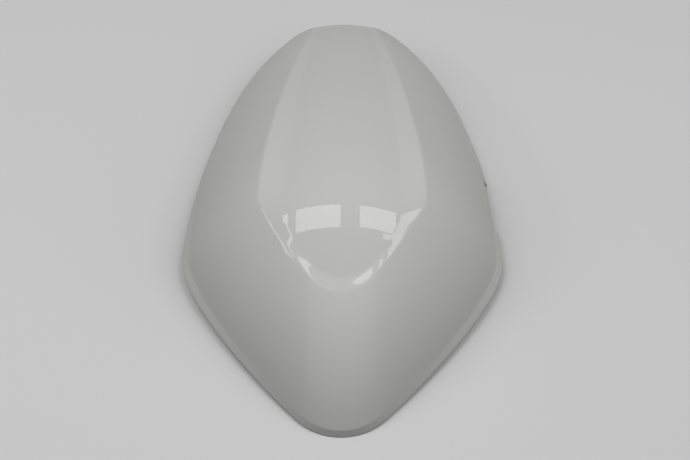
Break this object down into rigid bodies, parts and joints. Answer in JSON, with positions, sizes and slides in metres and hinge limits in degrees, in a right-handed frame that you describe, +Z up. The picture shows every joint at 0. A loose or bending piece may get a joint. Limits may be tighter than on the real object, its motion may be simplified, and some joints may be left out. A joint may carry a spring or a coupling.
{
  "type": "seat cowl",
  "caption": "Moulded plastic cowl that covers a motorcycle's rear seat: pointed front, raised creased panel, rounded tail and an open hollow underside.",
  "frame": {"origin": "centre of the cowl's plan box, on the surface that its rim rests on", "axes": "+X to the right when seen from the pointed front, +Y from the pointed front to the rounded tail, +Z up"},
  "size_m": [0.295, 0.45, 0.1249],
  "materials": {
    "painted_plastic": "smooth high-gloss white, satin inside"
  },
  "bodies": {
    "root": {"seat_cowl": "painted_plastic"}
  },
  "joints": []
}
